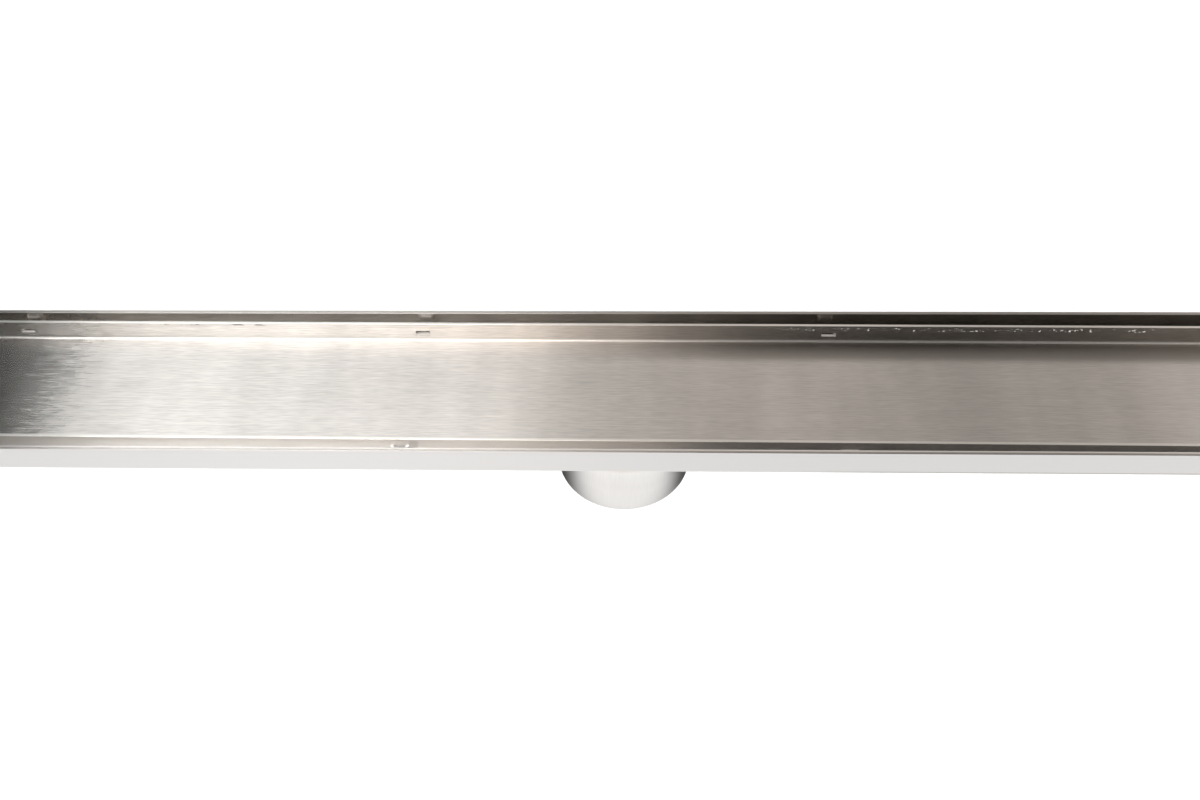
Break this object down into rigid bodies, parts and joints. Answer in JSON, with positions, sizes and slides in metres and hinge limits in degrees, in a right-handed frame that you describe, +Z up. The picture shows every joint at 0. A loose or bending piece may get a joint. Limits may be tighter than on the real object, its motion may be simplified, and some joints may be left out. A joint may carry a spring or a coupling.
{
  "type": "channel drain",
  "caption": "Tile-insert channel drain: a folded steel channel with a sloping floor, a round outlet spigot below its middle and a loose shallow tray for a tile.",
  "frame": {"origin": "centre of the outlet spigot's lower end", "axes": "+X along the channel, +Y across it towards the back, +Z up out of the floor"},
  "size_m": [0.6096, 0.066, 0.0463],
  "materials": {
    "channel_steel": "stainless sheet, brushed along its length",
    "tray_steel": "thin stainless sheet, finely brushed along its length",
    "spigot_steel": "stainless tube, brushed round",
    "pad_rubber": "matt moulded rubber"
  },
  "bodies": {
    "root": {"channel_body": "channel_steel", "end_plate_left": "channel_steel", "end_plate_right": "channel_steel", "outlet_spigot": "spigot_steel", "tile_tray": "tray_steel", "tray_pad_1": "pad_rubber", "tray_pad_2": "pad_rubber", "tray_pad_3": "pad_rubber", "tray_pad_4": "pad_rubber", "tray_pad_5": "pad_rubber", "tray_pad_6": "pad_rubber", "tray_pad_7": "pad_rubber", "tray_pad_8": "pad_rubber"}
  },
  "joints": []
}
